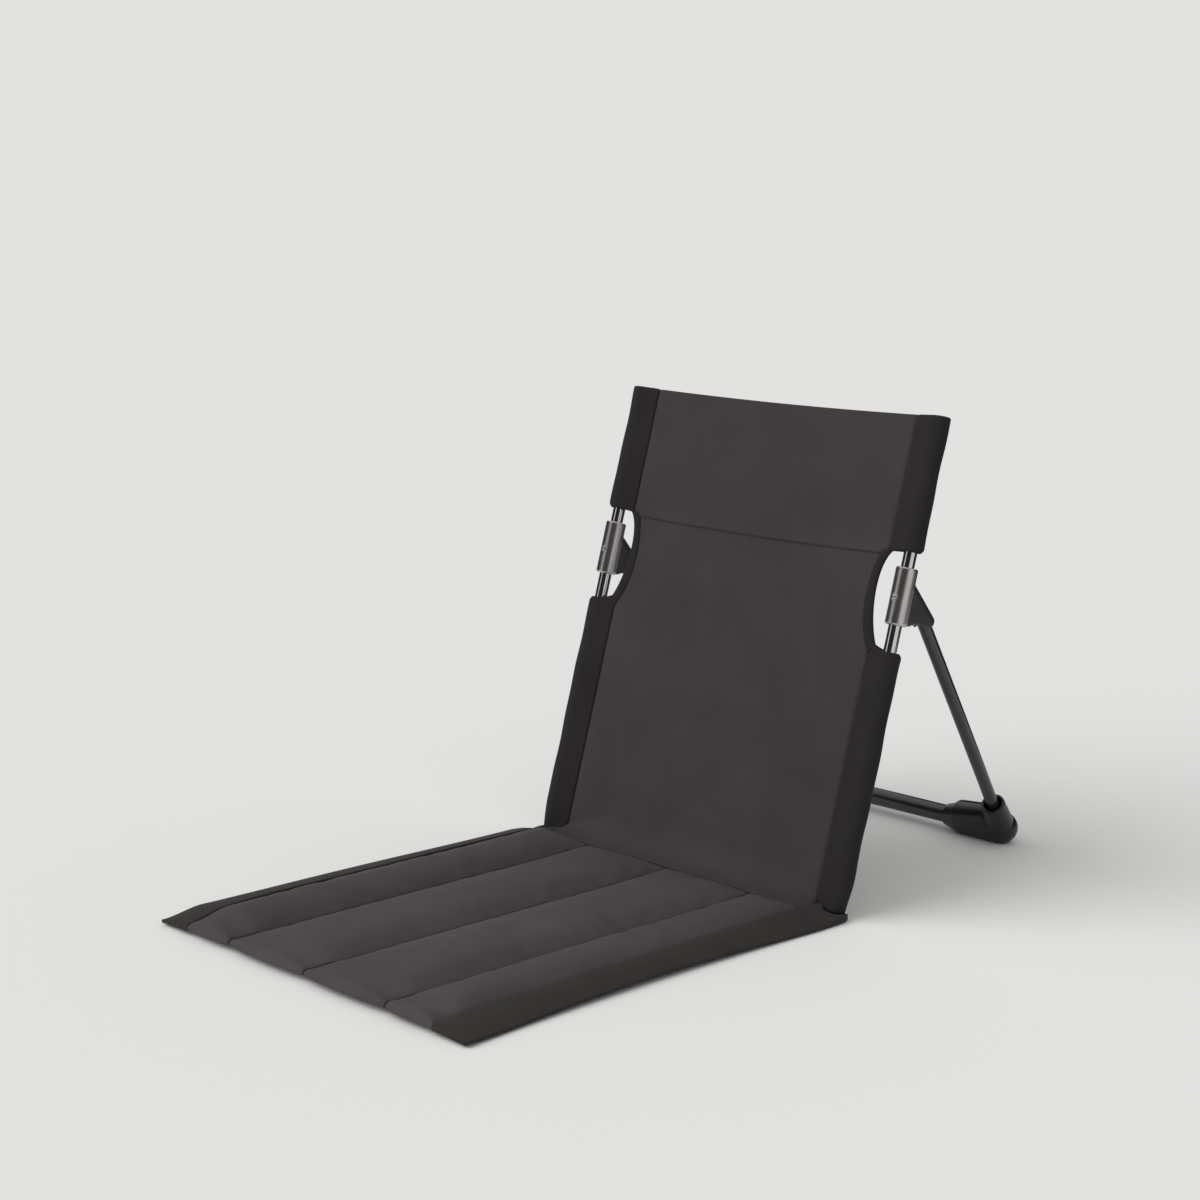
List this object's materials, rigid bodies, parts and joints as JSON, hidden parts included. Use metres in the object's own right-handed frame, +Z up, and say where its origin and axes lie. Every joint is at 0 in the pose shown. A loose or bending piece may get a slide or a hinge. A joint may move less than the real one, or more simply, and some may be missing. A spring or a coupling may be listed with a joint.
{
  "type": "folding ground chair",
  "caption": "Folding ground chair: a fabric back on leaning poles, propped by a swing-out stand, with a padded mat hinged at its foot.",
  "frame": {"origin": "on the ground, at the middle of the chair's width and of its length", "axes": "+Z up, -Y the way the chair faces, +X to the right as seen from the front in the picture"},
  "size_m": [0.444, 0.8126, 0.4694],
  "materials": {
    "panel_cloth": "woven matt",
    "border_cloth": "woven matt",
    "polished_pole": "polished",
    "bracket_plastic": "satin",
    "leg_coating": "satin",
    "foot_plastic": "satin",
    "cap_plastic": "satin",
    "fastener_steel": "bright",
    "seat_foam": "open foam"
  },
  "bodies": {
    "back": {"left_lower_pole": "polished_pole", "left_upper_pole": "polished_pole", "left_pole_foot_cap": "cap_plastic", "left_pole_top_cap": "cap_plastic", "left_bracket": "bracket_plastic", "left_bracket_screw": "fastener_steel", "left_hinge_pin": "fastener_steel", "left_lower_sleeve": "border_cloth", "left_upper_sleeve": "border_cloth", "left_cutout_binding": "border_cloth", "left_corner_pocket": "border_cloth", "right_lower_pole": "polished_pole", "right_upper_pole": "polished_pole", "right_pole_foot_cap": "cap_plastic", "right_pole_top_cap": "cap_plastic", "right_bracket": "bracket_plastic", "right_bracket_screw": "fastener_steel", "right_hinge_pin": "fastener_steel", "right_lower_sleeve": "border_cloth", "right_upper_sleeve": "border_cloth", "right_cutout_binding": "border_cloth", "right_corner_pocket": "border_cloth", "back_panel": "panel_cloth", "head_panel": "panel_cloth"},
    "stand": {"left_leg_knuckle": "foot_plastic", "left_leg_tube": "leg_coating", "left_foot": "foot_plastic", "right_leg_knuckle": "foot_plastic", "right_leg_tube": "leg_coating", "right_foot": "foot_plastic", "crossbar": "leg_coating"},
    "seat": {"seat_cover": "panel_cloth", "seat_foam_1": "seat_foam", "seat_foam_2": "seat_foam", "seat_foam_3": "seat_foam", "seat_foam_4": "seat_foam", "left_seat_border": "border_cloth", "right_seat_border": "border_cloth"}
  },
  "joints": [
    {"name": "stand_fold", "type": "hinge", "parent": "back", "child": "stand", "pos_m": [0, 0.17827, 0.27731], "axis": [-1, 0, 0], "range_deg": [0, 55]},
    {"name": "seat_fold", "type": "hinge", "parent": "back", "child": "seat", "pos_m": [0, 0.03928, 0.01264], "axis": [-1, 0, 0], "range_deg": [0, 106]}
  ]
}
